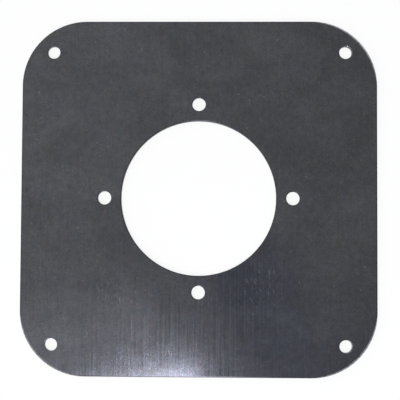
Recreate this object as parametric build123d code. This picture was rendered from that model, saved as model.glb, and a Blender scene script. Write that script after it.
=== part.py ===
from build123d import *
import math
import os

# A square cover plate, cut from one piece of mill-finish sheet steel.
# It lies on its back face: the origin is the middle of that face, +Z points out of the front
# face, and the sides run along X and Y. Millimetres and degrees.

# Blank
side_length_x = 170.0
side_length_y = 170.0
sheet_thickness = 3.0
corner_radius = 31.0

# Large central hole
bore_diameter = 74.0

# Screw holes around the bore, the first on +X
ring_hole_diameter = 6.4
ring_hole_count = 4
ring_hole_setback = 8.0  # from the bore's wall to a screw hole's centre

# Screw holes in the corners of the plate
corner_hole_diameter = 6.0
corner_hole_setback = 15.0  # from each side of the plate to a screw hole's centre

# The press rounds the edges of the front face and leaves the back ones nearly sharp
outline_edge_roll = 0.5
bore_edge_roll = 0.4
screw_hole_edge_roll = 0.3
back_edge_break = 0.15

# Three of the round corners were then dressed with a file: the bevel is widest on the diagonal
# and runs out where the corner meets the straight sides
corner_bevel_width = 0.85
corner_bevel_end_width = 0.2
corner_bevel_angle = 45.0  # from the front face
dressed_corner_turns = (0, 180, 270)  # about +Z, counted from the corner between +X and +Y
cutter_overrun = 1.0  # how far the cutters reach past the metal

# Worked out from the sizes above
ring_hole_circle_radius = bore_diameter / 2 + ring_hole_setback
corner_hole_spacing_x = side_length_x - 2 * corner_hole_setback
corner_hole_spacing_y = side_length_y - 2 * corner_hole_setback


def plate_blank():
    """The flat sheet with its four round corners, back face on Z = 0."""
    outline = RectangleRounded(side_length_x, side_length_y, corner_radius)
    return extrude(outline, amount=sheet_thickness)


def punch(diameter):
    """A round punch that goes through the sheet with its ends in the two faces."""
    return extrude(Circle(diameter / 2), amount=sheet_thickness)


def ring_hole_punches():
    places = PolarLocations(ring_hole_circle_radius, ring_hole_count)
    return [place * punch(ring_hole_diameter) for place in places]


def corner_hole_punches():
    places = GridLocations(corner_hole_spacing_x, corner_hole_spacing_y, 2, 2)
    return [place * punch(corner_hole_diameter) for place in places]


def front_face(plate):
    return plate.faces().sort_by(Axis.Z)[-1]


def back_face(plate):
    return plate.faces().sort_by(Axis.Z)[0]


def hole_rims(face, diameter):
    """The circular edges that one size of hole leaves in a face."""
    rims = ShapeList(rim for wire in face.inner_wires() for rim in wire.edges())
    return ShapeList(rim for rim in rims if abs(rim.radius - diameter / 2) < 1e-6)


def corner_bevel_cutter():
    """What the file takes off one corner: a quarter ring outside a cone about +Z.

    The cone's axis stands inside the corner's own centre, by the shift that makes the bevel
    narrower towards the ends of the quarter. The quarter opens between +X and +Y.
    """
    lost_width = corner_bevel_width - corner_bevel_end_width
    axis_shift = lost_width / (1 - math.cos(math.radians(45)))
    rim_radius = corner_radius + axis_shift - corner_bevel_width
    reach = corner_bevel_width + cutter_overrun
    slope = math.tan(math.radians(corner_bevel_angle))
    section = Polygon(
        (rim_radius - cutter_overrun, sheet_thickness + cutter_overrun * slope),
        (rim_radius + reach, sheet_thickness - reach * slope),
        (rim_radius + reach, sheet_thickness + cutter_overrun * slope),
        align=None,
    )
    ring = revolve(Plane.XZ * section, axis=Axis.Z, revolution_arc=90)
    inset = axis_shift * math.cos(math.radians(45))
    return Pos(-inset, -inset, 0) * ring


def dressed(plate):
    """The plate with the file's bevel on the dressed corners."""
    cutter = corner_bevel_cutter()
    for turn in dressed_corner_turns:
        x_side = math.copysign(1, math.cos(math.radians(turn + 45)))
        y_side = math.copysign(1, math.sin(math.radians(turn + 45)))
        corner_centre = Pos(
            x_side * (side_length_x / 2 - corner_radius),
            y_side * (side_length_y / 2 - corner_radius),
            0,
        )
        plate -= corner_centre * Rot(0, 0, turn) * cutter
    return plate


def cover_plate():
    """The blank, pierced, with its front edges rolled, its back edges broken and corners dressed."""
    plate = plate_blank()
    plate -= punch(bore_diameter)
    for hole in ring_hole_punches() + corner_hole_punches():
        plate -= hole
    plate = fillet(front_face(plate).outer_wire().edges(), outline_edge_roll)
    plate = fillet(hole_rims(front_face(plate), bore_diameter), bore_edge_roll)
    for diameter in (ring_hole_diameter, corner_hole_diameter):
        plate = fillet(hole_rims(front_face(plate), diameter), screw_hole_edge_roll)
    plate = chamfer(back_face(plate).edges(), back_edge_break)
    return dressed(plate)


os.makedirs("parts", exist_ok=True)
export_step(cover_plate(), "parts/cover_plate.step")
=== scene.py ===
"""A bare mill-finish steel cover plate lying on a white floor, seen from almost straight above."""

import math

import bpy
from mathutils import Matrix, Vector


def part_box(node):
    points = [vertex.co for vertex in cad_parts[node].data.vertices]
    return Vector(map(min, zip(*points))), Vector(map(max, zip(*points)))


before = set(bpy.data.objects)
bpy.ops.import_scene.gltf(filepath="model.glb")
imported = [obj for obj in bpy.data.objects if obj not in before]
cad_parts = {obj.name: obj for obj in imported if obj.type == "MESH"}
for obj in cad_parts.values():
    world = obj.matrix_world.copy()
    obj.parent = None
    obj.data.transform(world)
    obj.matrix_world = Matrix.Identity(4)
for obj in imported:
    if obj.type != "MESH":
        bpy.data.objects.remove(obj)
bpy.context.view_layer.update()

MM = 0.001

# ---------------------------------------------------------------------------------------------
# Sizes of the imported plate
# ---------------------------------------------------------------------------------------------

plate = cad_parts["cover_plate"]
plate_low, plate_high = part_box("cover_plate")
half_side = plate_high[0]
back_z = plate_low[2]
front_z = plate_high[2]

# Centre of a round corner's arc, from the middle of the plate along X and along Y
corner_radius = 31 * MM
corner_centre = half_side - corner_radius


# ---------------------------------------------------------------------------------------------
# Shader nodes
# ---------------------------------------------------------------------------------------------


class Nodes:
    """Builds the nodes of one material or world. A value is a socket, a number or a colour."""

    def __init__(self, owner):
        owner.use_nodes = True
        self.tree = owner.node_tree
        self.tree.nodes.clear()

    def new(self, kind, **settings):
        node = self.tree.nodes.new(kind)
        for name, value in settings.items():
            setattr(node, name, value)
        return node

    def feed(self, socket, value):
        """Links a socket to value, or sets value on the socket itself."""
        if isinstance(value, bpy.types.NodeSocket):
            self.tree.links.new(value, socket)
        else:
            socket.default_value = value

    def made(self, kind, values, **settings):
        """The first output of a new node, with values fed to its inputs in order."""
        node = self.new(kind, **settings)
        for socket, value in zip(node.inputs, values):
            self.feed(socket, value)
        return node.outputs[0]

    def math(self, operation, first, second=0.0, third=0.0):
        return self.made("ShaderNodeMath", (first, second, third), operation=operation)

    def product(self, first, *others):
        for other in others:
            first = self.math("MULTIPLY", first, other)
        return first

    def length(self, x, y):
        """The square root of x squared plus y squared."""
        return self.math("SQRT", self.math("ADD", self.product(x, x), self.product(y, y)))

    def scaled(self, vector, scale):
        """vector times a triple, part by part."""
        return self.made("ShaderNodeVectorMath", (vector, scale), operation="MULTIPLY")

    def split(self, vector):
        node = self.new("ShaderNodeSeparateXYZ")
        self.feed(node.inputs[0], vector)
        return node.outputs

    def join(self, x, y, z):
        return self.made("ShaderNodeCombineXYZ", (x, y, z))

    def ramp(self, value, low, high, to_low=0.0, to_high=1.0):
        """value from low..high smoothly to to_low..to_high, held at both ends."""
        numbers = (value, low, high, to_low, to_high)
        return self.made("ShaderNodeMapRange", numbers, interpolation_type="SMOOTHSTEP")

    def noise(self, place, cycles, detail=2.0, roughness=0.5, distortion=0.0):
        """Noise about 0.5. cycles says how many there are per unit of place, for each part."""
        node = self.new("ShaderNodeTexNoise")
        self.feed(node.inputs["Vector"], self.scaled(place, cycles))
        node.inputs["Scale"].default_value = 1.0
        node.inputs["Detail"].default_value = detail
        node.inputs["Roughness"].default_value = roughness
        node.inputs["Distortion"].default_value = distortion
        return node.outputs[0]

    def swing(self, noise, amount):
        """1 plus or minus amount, as the noise swings about 0.5."""
        return self.math("MULTIPLY_ADD", noise, 2 * amount, 1 - amount)

    def lift(self, mask, amount):
        """1 where the mask is 0, and 1 plus amount where it is 1."""
        return self.math("MULTIPLY_ADD", mask, amount, 1.0)

    def mix(self, factor, first, second, blend="MIX"):
        """A mix of two colours."""
        node = self.new("ShaderNodeMix", data_type="RGBA", blend_type=blend)
        colours = [socket for socket in node.inputs if socket.type == "RGBA"]
        self.feed(node.inputs[0], factor)
        self.feed(colours[0], first)
        self.feed(colours[1], second)
        return [socket for socket in node.outputs if socket.type == "RGBA"][0]

    def blend(self, factor, first, second):
        """A mix of two shaders."""
        return self.made("ShaderNodeMixShader", (factor, first, second))

    def finish(self, shader, output="ShaderNodeOutputMaterial"):
        self.feed(self.new(output).inputs["Surface"], shader)


# ---------------------------------------------------------------------------------------------
# Steel
# ---------------------------------------------------------------------------------------------

mill_steel = (0.076, 0.078, 0.0842, 1)
warm_stain = (0.081, 0.078, 0.081, 1)
cool_stain = (0.071, 0.077, 0.089, 1)
green_stain = (0.072, 0.081, 0.081, 1)
violet_stain = (0.080, 0.076, 0.086, 1)
filed_steel = (0.36, 0.365, 0.38, 1)
burnished_steel = (0.12, 0.122, 0.13, 1)
torn_steel = (0.07, 0.071, 0.075, 1)
# Painted shade: the rolled-over rims of the outline and the holes are darkened towards black,
# standing in for the dark they mirror
painted_edge_shade = (0, 0, 0, 1)
painted_edge_shade_share = 0.6

# The filed corners' mask fades in over these lengths: past a corner's centre, and past the middle,
# where the painted shade on the upper-left corner begins
corner_fade = 4 * MM
upper_left_shade_fade = 1 * MM

# How steep the surface is where each kind begins and where it is full: 0 is a face, 1 is a wall
edge_shade_from, edge_shade_full = 0.002, 0.05
filed_from, filed_full = 0.02, 0.10
wall_from, wall_full = 0.30, 0.60

tint_share = 0.8  # the most of the green or violet stain that shows

# How much each layer of noise lightens and darkens the sheet
cloud_swing = 0.30
mottle_swing = 0.27
drift_swing = 0.16
grit_swing = 0.40
grain_swing = 0.13

# Where the sheet was handled and scuffed: centre X, centre Y and reach of each patch, in millimetres
handled_spots = [(31, -41, 15), (-12, -43, 4), (-42, -46, 10), (-53, -62, 5), (-13, -74, 3)]
handled_core = 0.4  # the share of the reach that is scuffed in full
scuff_from, scuff_full = 0.58, 0.70  # levels of the noise
scuff_lift = 0.75
scuff_lean = 0.22

# One long fine scratch along Y: its X and half widths, and its two ends and how far they fade
long_scratch_x = -31.6 * MM
long_scratch_core = 0.05 * MM
long_scratch_rim = 0.3 * MM
long_scratch_low, long_scratch_low_fade = -70 * MM, 3 * MM
long_scratch_high, long_scratch_high_fade = -54 * MM, 5 * MM
long_scratch_strength = 0.6

speck_from, speck_full = 0.82, 0.87  # levels of the noise
speck_lift = 0.55

# The sheared walls: how far the torn part's upper limit wavers, and over what height it fades
torn_waver = 1.2 * MM
torn_fade = 0.6 * MM

# The gloss, and the relief of the grain
least_roughness = 0.09
streak_roughness = 0.07
wall_extra_roughness = 0.3
grain_depth = 0.0012 * MM


def stain_hue(nodes, place):
    """The sheet's colour, with faint warm, cool, green and violet clouds."""
    warmth = nodes.noise(place, (260, 200, 260), detail=4, roughness=0.65, distortion=0.4)
    tint = nodes.noise(place, (731, 646, 731), detail=3, roughness=0.65)
    hue = nodes.mix(nodes.ramp(warmth, 0.34, 0.48, 1, 0), mill_steel, cool_stain)
    hue = nodes.mix(nodes.ramp(warmth, 0.52, 0.66), hue, warm_stain)
    hue = nodes.mix(nodes.ramp(tint, 0.36, 0.50, tint_share, 0), hue, green_stain)
    return nodes.mix(nodes.ramp(tint, 0.50, 0.64, 0, tint_share), hue, violet_stain)


def near(nodes, place, spot):
    """1 around the middle of a handled spot, falling to 0 at its reach."""
    x, y, _ = nodes.split(place)
    centre_x, centre_y, reach = (length * MM for length in spot)
    across = nodes.math("SUBTRACT", x, centre_x)
    along = nodes.math("SUBTRACT", y, centre_y)
    return nodes.ramp(nodes.length(across, along), handled_core * reach, reach, 1, 0)


def fine_scuffs(nodes, place):
    """Short scratches, leaning a little from the grain, in the handled spots: 0 to 1."""
    x, y, z = nodes.split(place)
    leaning = nodes.join(nodes.math("MULTIPLY_ADD", y, scuff_lean, x), y, z)
    marks = nodes.noise(leaning, (1300, 240, 1300), detail=1)
    handled = 0.0
    for spot in handled_spots:
        handled = nodes.math("MAXIMUM", handled, near(nodes, place, spot))
    return nodes.product(nodes.ramp(marks, scuff_from, scuff_full), handled)


def long_scratch(nodes, place):
    """The long fine scratch: 0 to its strength."""
    x, y, _ = nodes.split(place)
    beside = nodes.math("ABSOLUTE", nodes.math("SUBTRACT", x, long_scratch_x))
    line = nodes.ramp(beside, long_scratch_core, long_scratch_rim, long_scratch_strength, 0)
    low_end = nodes.ramp(y, long_scratch_low, long_scratch_low + long_scratch_low_fade)
    high_end = nodes.ramp(y, long_scratch_high - long_scratch_high_fade, long_scratch_high, 1, 0)
    return nodes.product(line, low_end, high_end)


def specks(nodes, place):
    """Sparse paler points, about a third of a millimetre wide: 0 to 1."""
    dots = nodes.noise(place, (820, 820, 820), detail=0)
    return nodes.ramp(dots, speck_from, speck_full)


def sheet_tone(nodes, place):
    """Colour of the rolled faces: dark mill steel with clouds, stains and a fine grain along Y."""
    clouds = nodes.noise(place, (40, 44, 40), detail=4, roughness=0.6, distortion=0.8)
    drifts = nodes.noise(place, (19.2, 74.4, 19.2), detail=2, roughness=0.6, distortion=0.5)
    mottle = nodes.noise(place, (380, 320, 380), detail=3, roughness=0.7)
    grit = nodes.noise(place, (1900, 1700, 1900), detail=1, roughness=0.6)
    grain = nodes.noise(place, (1700, 36, 1700), detail=2, roughness=0.6)
    scuffed = nodes.math("MAXIMUM", fine_scuffs(nodes, place), long_scratch(nodes, place))
    light = nodes.product(
        nodes.swing(clouds, cloud_swing),
        nodes.swing(mottle, mottle_swing),
        nodes.swing(drifts, drift_swing),
        nodes.swing(grit, grit_swing),
        nodes.swing(grain, grain_swing),
        nodes.lift(scuffed, scuff_lift),
        nodes.lift(specks(nodes, place), speck_lift),
    )
    return nodes.mix(1.0, stain_hue(nodes, place), nodes.join(light, light, light), "MULTIPLY")


def filed_corners_with_upper_left_shaded(nodes, place):
    """(1 in the three filed corners and 0 elsewhere, the angle about the corner's centre). The
    upper-left corner is left out as painted shade.
    """
    x, y, _ = nodes.split(place)
    along_x = nodes.math("SUBTRACT", nodes.math("ABSOLUTE", x), corner_centre)
    along_y = nodes.math("SUBTRACT", nodes.math("ABSOLUTE", y), corner_centre)
    in_x = nodes.ramp(along_x, 0, corner_fade)
    in_y = nodes.ramp(along_y, 0, corner_fade)
    inside = nodes.math("MINIMUM", in_x, in_y)
    # Painted shade: the upper-left corner's bevel is kept out of the pale filed tone and stays dark
    painted_shade_upper_left = nodes.product(nodes.ramp(x, 0, upper_left_shade_fade, 1, 0), nodes.ramp(y, 0, upper_left_shade_fade))
    dressed = nodes.product(inside, nodes.math("SUBTRACT", 1.0, painted_shade_upper_left))
    return dressed, nodes.math("ARCTAN2", along_y, along_x)


def filed_tone(nodes, place, turn):
    """Colour of a filed bevel, with short marks across it. turn is the angle about the corner."""
    z = nodes.split(place)[2]
    along_edge = nodes.join(turn, 0.0, z)
    ticks = nodes.noise(along_edge, (120, 1, 150))
    return nodes.mix(nodes.ramp(ticks, 0.30, 0.70), burnished_steel, filed_steel)


def wall_tone(nodes, place):
    """Colour of the sheared walls: burnished in the upper third and torn, darker, below it."""
    z = nodes.split(place)[2]
    waver = nodes.noise(place, (400, 400, 60), detail=3)
    level = nodes.math("MULTIPLY_ADD", waver, torn_waver, z)
    grit = nodes.noise(place, (1200, 1200, 900), detail=2, roughness=0.7)
    torn = nodes.mix(nodes.ramp(grit, 0.35, 0.65), torn_steel, burnished_steel)
    return nodes.mix(nodes.ramp(level, front_z - torn_fade, front_z), torn, burnished_steel)


def steel():
    """Dark rolled faces with painted shade on their rolled rims, paler filed bevels on three corners
    with the upper-left one kept dark as painted shade, and sheared walls.
    """
    material = bpy.data.materials.new("mill_finish_steel")
    nodes = Nodes(material)
    place = nodes.new("ShaderNodeTexCoord").outputs["Object"]
    normal_z = nodes.split(nodes.new("ShaderNodeNewGeometry").outputs["Normal"])[2]
    steepness = nodes.math("SUBTRACT", 1.0, nodes.math("ABSOLUTE", normal_z))

    dressed, turn = filed_corners_with_upper_left_shaded(nodes, place)
    # Painted shade on the rolled rims: their colour is mixed towards black up to this share
    rolled = nodes.ramp(steepness, edge_shade_from, edge_shade_full, 0, painted_edge_shade_share)
    # Pale filed steel on three corners; the upper-left corner stays dark as painted shade
    filed = nodes.product(dressed, nodes.ramp(steepness, filed_from, filed_full))
    walled = nodes.ramp(steepness, wall_from, wall_full)

    colour = nodes.mix(rolled, sheet_tone(nodes, place), painted_edge_shade)
    colour = nodes.mix(filed, colour, filed_tone(nodes, place, turn))
    colour = nodes.mix(walled, colour, wall_tone(nodes, place))

    # The grain also varies the gloss, so that reflections break into streaks along Y
    streaks = nodes.ramp(nodes.noise(place, (2400, 26, 2400), detail=1), 0.3, 0.7)
    roughness = nodes.math("MULTIPLY_ADD", streaks, streak_roughness, least_roughness)
    roughness = nodes.math("MULTIPLY_ADD", walled, wall_extra_roughness, roughness)

    bump = nodes.new("ShaderNodeBump")
    bump.inputs["Strength"].default_value = 1.0
    bump.inputs["Distance"].default_value = grain_depth
    nodes.feed(bump.inputs["Height"], nodes.noise(place, (2200, 20, 2200), detail=2, roughness=0.6))

    shader = nodes.new("ShaderNodeBsdfPrincipled")
    shader.inputs["Metallic"].default_value = 1.0
    nodes.feed(shader.inputs["Base Color"], colour)
    nodes.feed(shader.inputs["Roughness"], roughness)
    nodes.feed(shader.inputs["Normal"], bump.outputs["Normal"])
    nodes.finish(shader.outputs["BSDF"])
    return material


plate.data.materials.clear()
plate.data.materials.append(steel())

# ---------------------------------------------------------------------------------------------
# Floor
# ---------------------------------------------------------------------------------------------

floor_side = 3.0
floor_gap = 0.02 * MM  # keeps the floor and the plate's back from lying in one plane
floor_shade_share = 0.12  # how much of the floor's whiteness the light and the shadow decide
paper_white = (0.92, 0.92, 0.92, 1)


def rectangle(name, width, depth, centre, material):
    """A level rectangle about its centre."""
    x, y = width / 2, depth / 2
    mesh = bpy.data.meshes.new(name)
    mesh.from_pydata([(-x, -y, 0), (x, -y, 0), (x, y, 0), (-x, y, 0)], [], [(0, 1, 2, 3)])
    mesh.materials.append(material)
    piece = bpy.data.objects.new(name, mesh)
    piece.matrix_world = Matrix.Translation(centre)
    bpy.context.collection.objects.link(piece)
    return piece


def white_floor():
    """White to the eye and in the steel, with a soft shadow. It is clear from below."""
    material = bpy.data.materials.new("white_floor")
    nodes = Nodes(material)
    path = nodes.new("ShaderNodeLightPath").outputs
    seen = nodes.math("MAXIMUM", path["Is Camera Ray"], path["Is Glossy Ray"])
    seen = nodes.math("MAXIMUM", seen, path["Is Transmission Ray"])
    paper = nodes.new("ShaderNodeBsdfDiffuse")
    paper.inputs["Color"].default_value = paper_white
    glow = nodes.new("ShaderNodeEmission")
    glow.inputs["Strength"].default_value = 1.0
    above = nodes.blend(nodes.product(seen, 1 - floor_shade_share), paper.outputs[0], glow.outputs[0])
    from_below = nodes.new("ShaderNodeNewGeometry").outputs["Backfacing"]
    clear = nodes.new("ShaderNodeBsdfTransparent").outputs[0]
    nodes.finish(nodes.blend(from_below, above, clear))
    return material


floor = rectangle("floor", floor_side, floor_side, (0, 0, back_z - floor_gap), white_floor())

# ---------------------------------------------------------------------------------------------
# Light: a pale room, brighter on the left, and two softboxes overhead in front
# ---------------------------------------------------------------------------------------------

room_white = (0.98, 0.985, 1.0, 1)
room_blue = (0.80, 0.815, 0.90, 1)
room_level = 0.87
room_slope = -1.0
darkest_room = 0.25
brightest_room = 1.1

# Where the room turns blue, as X and Y of a direction: in full past one and not before the other
blue_full_x, blue_none_x = 0.01, -0.08
blue_full_y, blue_none_y = -0.11, -0.03

# Each softbox: centre, width, depth and turn about Z in degrees, radiance and colour
front_softbox = ((-0.041, -0.303, 0.60), 0.124, 0.30, 16, 17.0, (0.857, 0.855, 1.0))
front_glow = ((-0.118, -0.282, 0.62), 0.21, 0.40, 14, 0.45, (0.9, 0.9, 1.0))


def room_light():
    """Light that falls off to the right, bluer in front on the right. The camera sees white."""
    world = bpy.data.worlds.new("pale_room")
    bpy.context.scene.world = world
    nodes = Nodes(world)
    x, y, _ = nodes.split(nodes.new("ShaderNodeTexCoord").outputs["Generated"])
    level = nodes.math("MULTIPLY_ADD", x, room_slope, room_level)
    level = nodes.math("MAXIMUM", level, darkest_room)
    level = nodes.math("MINIMUM", level, brightest_room)
    in_front = nodes.ramp(y, blue_full_y, blue_none_y, 1, 0)
    front_right = nodes.product(in_front, nodes.ramp(x, blue_none_x, blue_full_x))
    room = nodes.new("ShaderNodeBackground")
    nodes.feed(room.inputs["Color"], nodes.mix(front_right, room_white, room_blue))
    nodes.feed(room.inputs["Strength"], level)
    white = nodes.new("ShaderNodeBackground")
    white.inputs["Color"].default_value = (1, 1, 1, 1)
    camera_ray = nodes.new("ShaderNodeLightPath").outputs["Is Camera Ray"]
    nodes.finish(nodes.blend(camera_ray, room.outputs[0], white.outputs[0]), "ShaderNodeOutputWorld")


def softbox(name, centre, width, depth, turn, radiance, colour):
    """A rectangular lamp that shines straight down with an even radiance. turn is in degrees."""
    lamp = bpy.data.lights.new(name, "AREA")
    lamp.shape = "RECTANGLE"
    lamp.size = width
    lamp.size_y = depth
    lamp.energy = radiance * math.pi * width * depth
    lamp.color = colour
    piece = bpy.data.objects.new(name, lamp)
    piece.matrix_world = Matrix.Translation(centre) @ Matrix.Rotation(math.radians(turn), 4, "Z")
    bpy.context.collection.objects.link(piece)


room_light()
softbox("front_softbox", *front_softbox)
softbox("front_glow", *front_glow)

# ---------------------------------------------------------------------------------------------
# Camera, and the dim things beside it that the sheet mirrors
# ---------------------------------------------------------------------------------------------

camera_place = Vector((14.7, -27.0, 532.0)) * MM
camera_aim = Vector((0.7, -0.9, 3.0)) * MM
camera_roll = math.radians(-0.3)
camera_lens = 100

# Each dim shape: place from the camera and reach, in millimetres, and colour
camera_body = ((20, -26, 12), 60, (0.54, 0.56, 0.70, 1))
tripod_head = ((52, -82, 20), 45, (0.66, 0.68, 0.82, 1))
dim_core = 0.35  # the share of the reach that is dim in full


def look(place, aim, roll):
    """A camera at place that looks at aim, upright in the plate's Y but for the roll."""
    camera = bpy.data.cameras.new("camera")
    camera.lens = camera_lens
    camera.sensor_width = 36
    camera.clip_start = 0.01
    piece = bpy.data.objects.new("camera", camera)
    forward = (aim - place).normalized()
    right = forward.cross(Vector((0, 1, 0))).normalized()
    up = right.cross(forward)
    turn = Matrix.Rotation(roll, 3, forward)
    right, up = turn @ right, turn @ up
    axes = Matrix((right, up, -forward)).transposed().to_4x4()
    piece.matrix_world = Matrix.Translation(place) @ axes
    bpy.context.collection.objects.link(piece)
    bpy.context.scene.camera = piece


def dim_shape(name, from_camera, reach_mm, colour):
    """Something dim above the plate, soft at its rim, that only reflections see."""
    centre = camera_place + Vector(from_camera) * MM
    reach = reach_mm * MM
    material = bpy.data.materials.new(name)
    nodes = Nodes(material)
    x, y, _ = nodes.split(nodes.new("ShaderNodeTexCoord").outputs["Object"])
    share = nodes.ramp(nodes.length(x, y), dim_core * reach, reach, 1, 0)
    dim = nodes.new("ShaderNodeEmission")
    dim.inputs["Color"].default_value = colour
    clear = nodes.new("ShaderNodeBsdfTransparent")
    nodes.finish(nodes.blend(share, clear.outputs[0], dim.outputs[0]))
    shape = rectangle(name, 2 * reach, 2 * reach, centre, material)
    shape.visible_camera = False
    shape.visible_diffuse = False
    shape.visible_shadow = False


look(camera_place, camera_aim, camera_roll)
dim_shape("camera_body", *camera_body)
dim_shape("tripod_head", *tripod_head)

bpy.context.scene.view_settings.view_transform = "Standard"
